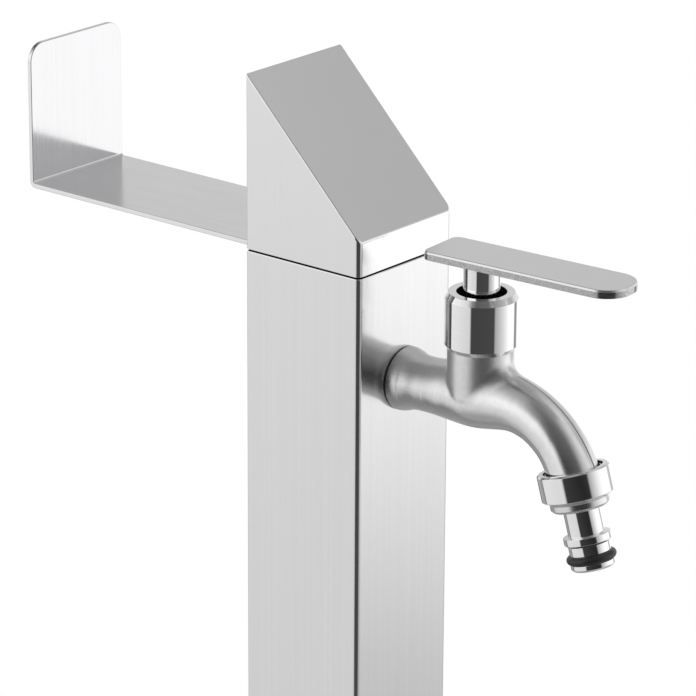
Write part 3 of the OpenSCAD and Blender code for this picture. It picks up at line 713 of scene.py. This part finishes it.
def build_bonnet():
    """Polished sleeve; the walls of its recess round the hub are painted near black as shade."""
    outline = [
        (12.1, 0), (13.6, 0), (15.0, 2.0), (15.0, 21.6), (13.55, 24.0), (RECESS_R, 24.0),
        (RECESS_R, 16.8), (7.3, 16.8), (7.3, 12.8), (12.1, 12.8),
    ]
    soft = [0, 0.12, 0.25, 0.22, 0.22, 0.22, 0.3, 0.1, 0.1, 0]
    piece = lathe("bonnet_sleeve", round_profile(outline, soft), upright(VALVE_Y, NECK_Z))
    # Faces inside the recess take the near-black steel: painted shade
    for f in piece.data.polygons:
        out = math.hypot(f.center.x, f.center.y - VALVE_Y * MM)
        if out < (RECESS_R + 0.12) * MM and f.center.z < (BONNET_TOP - 0.6) * MM:
            f.material_index = 1
    finish_mesh(piece)
    settle(piece, "column", "polished_steel", ["polished_steel", "recess_painted_shade"], "bonnet_sleeve")


def build_hub():
    """Polished stem under the lever, on the spindle's shaft."""
    lo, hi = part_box("lever_hub")
    h = (hi[2] - lo[2]) / MM
    shaft, bore = 4.05, 14.0
    outline = [(shaft, 0), (7.6, 0), (7.6, h), (0.001, h), (0.001, bore), (shaft, bore)]
    soft = [0.2, 0.4, 0, 0, 0, 0.1]
    piece = lathe("lever_hub", round_profile(outline, soft), upright(VALVE_Y, lo[2] / MM))
    finish_mesh(piece)
    settle(piece, "handle", "polished_steel", ["polished_steel"], "lever_hub")


def build_connector():
    """Hose connector, from the collar's open top down to the nipple's end; its step ring is turned, not polished."""
    outline = [
        (12.3, -5.8), (14.2, -5.8), (14.9, -5.1), (14.9, 5.2), (12.15, 7.0), (12.15, 9.3), (11.05, 10.4), (7.5, 10.4),
        (7.5, 21.5), (9.75, 21.5), (9.75, 24.4), (8.85, 25.3), (8.5, 25.3), (8.5, 29.2), (6.7, 29.2), (6.7, 32.8),
        (9.1, 32.8), (9.1, 34.7), (8.2, 35.6), (4.8, 35.6), (4.8, 4.7), (11.4, 4.7), (11.4, -2.4), (12.3, -2.4),
    ]
    soft = [
        0.15, 0.2, 0.2, 0.25, 0.25, 0.3, 0.35, 0.5,
        0.25, 0.25, 0.3, 0.2, 0, 0.2, 0, 0,
        0.25, 0.3, 0.3, 0.3, 0, 0, 0, 0,
    ]
    piece = lathe("hose_connector", round_profile(outline, soft), outlet_matrix())
    back = outlet_matrix().inverted()
    for f in piece.data.polygons:
        centre = back @ f.center
        if 6.6 * MM < centre.z < 10.3 * MM and centre.xy.length > 11.6 * MM:
            f.material_index = 1
    finish_mesh(piece)
    settle(piece, "column", "polished_steel", ["polished_steel", "turned_steel"], "hose_connector")


# ---------------------------------------------------------------- cast tap body

def smooth_table(xs, ys, reach, step=0.25):
    """A table of values, smoothed over reach mm to each side, as arrays for np.interp."""
    grid = np.arange(min(xs) - 20, max(xs) + 20, step)
    kernel = np.hanning(2 * reach / step + 1)
    kernel /= kernel.sum()
    padded = np.pad(np.interp(grid, xs, ys), len(kernel) // 2, mode="edge")
    return grid, np.convolve(padded, kernel, mode="valid")


# The casting is measured in mm from the crossing of the inlet's and the valve's axes: x, y towards the spout, z up
FLANGE_Y = -38.9
FLANGE_T = 5.1
FLANGE_R = 13.5
FLANGE_EDGE = 0.3
SKIRT_R = 10.9
NECK_R = 13.6
NECK_TOP = 23.2
SPIGOT_R, SPIGOT_TOP = 12.0, 32.1
STUB_R, STUB_END = 10.45, -60.9
INLET_BORE = 6.0
OUTLET_BORE = 6.3
CHAMBER_R = 10.0
SPOUT_RISE = 2.3
BEND_Z = SPOUT_RISE - BEND_R
SPOUT_END = BEND_START + BEND_R * BEND_ANGLE + 3.5

# Along the run: the tube's radius, how much narrower its sides are (above 1) and the height of its centre line
RUN_R = smooth_table(
    [-38.9, -33, -27, -24, -20, -16, -10, -4, 0, 4, 8, 14, 22, 32, 44, 54, 60, 64],
    [11.3, 11.3, 11.35, 11.4, 11.8, 12.25, 12.9, 13.35, 13.45, 13.3, 12.8, 11.9, 11.0, 10.45, 10.3, 10.55, 10.95, 11.1],
    reach=3)
SLIM = smooth_table(
    [-31, -27, -20, -12, -6, 0, 6, 12, 18],
    [1, 0.985, 1.04, 1.085, 1.055, 1.02, 1.025, 1.01, 1.0],
    reach=4)
RUN_Z = smooth_table([-38.9, -30, -12, 0, 8, 14.1, 30], [0.05, 0.1, 0.9, 1.6, 2.1, SPOUT_RISE, SPOUT_RISE], reach=6)


def blend_min(a, b, k):
    """The nearer of two skins, with a soft fillet of width k where they meet."""
    h = np.maximum(k - np.abs(a - b), 0) / k
    return np.minimum(a, b) - h * h * k / 4


def ramp_down(v, start, span):
    """1 well below start, falling to 0 at start over so many mm."""
    return np.clip(start - v, 0, span) / span


def follow_run(y, z):
    """Distance along the bent centre line and height over it, and where the bend and the straight end are."""
    phi = np.arctan2(y - BEND_START, z - BEND_Z)
    rho = np.hypot(y - BEND_START, z - BEND_Z)
    straight = z - np.interp(y, *RUN_Z)
    in_bend = (phi > 0) & (phi <= BEND_ANGLE)
    run = np.where(in_bend, BEND_START + BEND_R * phi, y)
    off = np.where(in_bend, rho - BEND_R, straight)
    c, s = math.cos(BEND_ANGLE), math.sin(BEND_ANGLE)
    along = (y - BEND_START) * c - (z - BEND_Z) * s
    past = (phi > BEND_ANGLE) & (z < 0) & (y > 5)
    run = np.where(past, BEND_START + BEND_R * BEND_ANGLE + along, run)
    off = np.where(past, (y - BEND_START) * s + (z - BEND_Z) * c - BEND_R, off)
    before = (y < BEND_START) & (z > BEND_Z - 4)
    return np.where(before, y, run), np.where(before, straight, off), past | in_bend


def flange_field(x, y, z):
    """The flange with its rounded edge, and the bell-shaped skirt that runs out onto the barrel."""
    h = y - FLANGE_Y
    out = np.hypot(x, z)
    side = x * x / np.maximum(x * x + z * z, 1e-6)
    bell = SKIRT_R + 1.55 * (side * ramp_down(h, 16, 11) ** 1.5 + (1 - side) * ramp_down(h, 12.5, 7.5) ** 1.8)
    skirt = np.maximum(out - bell, np.maximum(-h, h - 16.5)) * 0.92
    qx = out - (FLANGE_R - FLANGE_EDGE - (np.clip(h, 0, FLANGE_T) / 5) ** 1.8)
    qy = np.abs(h - FLANGE_T / 2) - (FLANGE_T / 2 - FLANGE_EDGE)
    corner = np.hypot(np.maximum(qx, 0), np.maximum(qy, 0)) + np.minimum(np.maximum(qx, qy), 0)
    return skirt, (corner - FLANGE_EDGE) * 0.95


def tap_field(p):
    """Signed distance, in mm, to the casting's skin."""
    x, y, z = p[..., 0], p[..., 1], p[..., 2]
    run, off, in_spout = follow_run(y, z)
    reach = np.hypot(x * np.interp(y, *SLIM), off)
    tube = np.maximum(reach - np.interp(run, *RUN_R), run - SPOUT_END)
    tube = np.maximum(tube, FLANGE_Y - y)
    skirt, flange = flange_field(x, y, z)
    body = blend_min(blend_min(tube, skirt, 0.8), flange, 0.3)
    # upright neck, with a fillet that grows towards the spout's side
    flat = np.hypot(x, y)
    neck_r = NECK_R - 0.25 * np.clip((8 - z) / 8, 0, 1) - 2.0 * np.clip((4 - z) / 6, 0, 1) ** 2
    neck = np.maximum(flat - neck_r, np.maximum(z - NECK_TOP, -(z + 2)))
    across = x / np.maximum(flat, 1e-6)
    same = np.clip(across * x / np.maximum(reach, 1e-6), -1, 1)
    front = np.clip((y + 3) / 8, 0, 1)
    front = front * front * (3 - 2 * front)
    fillet = (1.2 + 5.8 * front * (1 - 0.75 * across ** 2)) * np.clip(1 - same, 0, 1) ** 0.8 + 0.15
    body = blend_min(body, neck, fillet)
    # spigot under the sleeve and stub inside the column
    body = np.minimum(body, np.maximum(flat - SPIGOT_R, np.maximum(z - SPIGOT_TOP, 10 - z)))
    body = np.minimum(body, np.maximum(np.hypot(x, z) - STUB_R, np.maximum(y + 37, STUB_END - y)))
    # bore from the inlet, chamber of the cartridge and mouth of the spout
    body = np.maximum(body, -np.maximum(np.hypot(x, z) - INLET_BORE, y + 20))
    body = np.maximum(body, -np.maximum(flat - CHAMBER_R, 14 - z))
    mouth = np.where(in_spout, np.maximum(reach - OUTLET_BORE, SPOUT_END - 16 - run), 9.0)
    return np.maximum(body, -mouth)


UNITS = np.eye(3, dtype=int)


def surface_net(field, low, step):
    """One vertex in each cell that the skin passes through, and a quad round each grid edge that it cuts."""
    inside = field < 0
    n = field.shape
    count = np.zeros([s - 1 for s in n], np.int8)
    for i in (0, 1):
        for j in (0, 1):
            for k in (0, 1):
                count += inside[i:n[0] - 1 + i, j:n[1] - 1 + j, k:n[2] - 1 + k]
    active = (count > 0) & (count < 8)
    index = np.full(active.shape, -1, np.int64)
    cells = np.argwhere(active)
    index[active] = np.arange(len(cells))
    total = np.zeros((len(cells), 3))
    hits = np.zeros(len(cells))
    for axis in range(3):
        one, two = (UNITS[other] for other in range(3) if other != axis)
        for a in (0, 1):
            for b in (0, 1):
                p0 = cells + one * a + two * b
                p1 = p0 + UNITS[axis]
                f0, f1 = field[tuple(p0.T)], field[tuple(p1.T)]
                cross = (f0 < 0) != (f1 < 0)
                t = np.where(cross, f0 / np.where(cross, f0 - f1, 1), 0)
                total[cross] += (p0 + t[:, None] * UNITS[axis])[cross]
                hits[cross] += 1
    verts = low + step * total / hits[:, None]
    quads = []
    for axis in range(3):
        a, b = (other for other in range(3) if other != axis)
        first = [slice(None)] * 3
        second = [slice(None)] * 3
        first[axis] = slice(0, n[axis] - 1)
        second[axis] = slice(1, n[axis])
        edges = np.argwhere(inside[tuple(first)] != inside[tuple(second)])
        edges = edges[(edges[:, a] > 0) & (edges[:, b] > 0) & (edges[:, a] < n[a] - 1) & (edges[:, b] < n[b] - 1)]
        corners = ((1, 1), (0, 1), (0, 0), (1, 0))
        quad = np.stack([index[tuple((edges - UNITS[a] * i - UNITS[b] * j).T)] for i, j in corners], 1)
        outward = inside[tuple(edges.T)] != (axis == 1)
        quad[~outward] = quad[~outward][:, ::-1]
        quads.append(quad)
    return verts, np.concatenate(quads)


NET_STEP = 0.55
NET_LOW = np.array([-15.5, -62.0, -48.0])
NET_HIGH = np.array([15.5, 66.0, 34.0])
PROBE = 0.02


def build_tap():
    """The casting: a net over the field, then each vertex is drawn onto the skin in a few small moves."""
    count = np.ceil((NET_HIGH - NET_LOW) / NET_STEP).astype(int) + 1
    axes = [NET_LOW[i] + NET_STEP * np.arange(count[i]) for i in range(3)]
    grid = np.stack(np.meshgrid(*axes, indexing="ij"), -1)
    verts, quads = surface_net(tap_field(grid), NET_LOW, NET_STEP)
    for _ in range(4):
        slope = np.zeros_like(verts)
        for axis in range(3):
            d = UNITS[axis] * PROBE
            slope[:, axis] = (tap_field(verts + d) - tap_field(verts - d)) / (2 * PROBE)
        size = np.maximum((slope ** 2).sum(1), 0.3)
        move = np.clip(tap_field(verts) / size, -0.2, 0.2)
        verts = verts - slope * move[:, None] * 0.9
    world = np.stack([-verts[:, 0], VALVE_Y - verts[:, 1], TAP_Z + verts[:, 2]], 1)
    mesh = bpy.data.meshes.new("tap_body")
    mesh.from_pydata((world * MM).tolist(), [], quads.tolist())
    mesh.validate()
    bm = bmesh.new()
    bm.from_mesh(mesh)
    bmesh.ops.recalc_face_normals(bm, faces=bm.faces)
    bpy.data.meshes.remove(mesh)
    body = new_object("tap_body", bm)
    body.data.shade_smooth()
    body.data.set_sharp_from_angle(angle=math.radians(55))
    settle(body, "column", "cast_steel", ["cast_steel"], "tap_body")


# The raised line's cross-section, across and up in mm; it lies a little to the side of the spout's crest
CREST = ((-0.85, -0.35), (-0.5, 0.10), (-0.22, 0.34), (0, 0.40), (0.3, 0.34), (0.8, 0.10), (1.2, -0.35))
CREST_SHIFT = 1.1
CREST_STEPS = 90


def build_crest_line():
    """The fine raised parting line that runs along the spout's crest."""
    bm = bmesh.new()
    rows = []
    for i in range(CREST_STEPS + 1):
        s = i / CREST_STEPS
        phi = math.radians(-6) + (BEND_ANGLE + math.radians(7)) * s
        tube_r = float(np.interp(BEND_START + BEND_R * phi, *RUN_R))
        ease = min(1.0, s * 8, (1 - s) * 20)
        row = []
        for w, h in CREST:
            x = w + CREST_SHIFT
            r = BEND_R + tube_r + (h * ease if h > 0 else h) - 0.03 - x ** 2 / (2 * tube_r)
            y, z = SPOUT_Y - r * math.sin(phi), TAP_Z + BEND_Z + r * math.cos(phi)
            row.append(bm.verts.new((x * MM, y * MM, z * MM)))
        rows.append(row)
    side_faces(bm, rows)
    bm.faces.new(rows[0])
    bm.faces.new(list(reversed(rows[-1])))
    bmesh.ops.recalc_face_normals(bm, faces=bm.faces)
    line = new_object("crest_line", bm)
    line.data.shade_smooth()
    line.data.set_sharp_from_angle(angle=math.radians(60))
    settle(line, "column", "cast_steel", ["cast_steel"])


# ---------------------------------------------------------------- everything

def dress_nodes():
    """The solids that no piece replaces carry the material of their slot."""
    for entry in frame["record"]["subparts"]:
        obj = NODES.get(entry["node"])
        if obj is None:
            continue
        slot = entry["material_slot"]
        obj.data.materials.clear()
        obj.data.materials.append(MATS["column_steel" if slot == "brushed_steel" else slot])
        for p in obj.data.polygons:
            p.material_index = 0
    # The gasket takes the extra dark rubber: partly its own black, partly painted shade in the seam
    NODES["cap_gasket"].data.materials[0] = MATS["seam_rubber_and_shade"]


bpy.context.scene.view_settings.view_transform = "Standard"
aim_camera()
build_world()
build_studio()
build_floor()
area_lamp("key_lamp", (-2.6, -1.6, 3.2), (0, 0, 0.6), 2.0, 60)
area_lamp("fill_lamp", (2.4, -2.2, 2.6), (0, 0, 0.6), 2.0, 30)

dress_nodes()
build_column()
build_cap()
build_rest()
build_base()
build_tap()
build_crest_line()
build_bonnet()
build_hub()
build_connector()
build_lever()
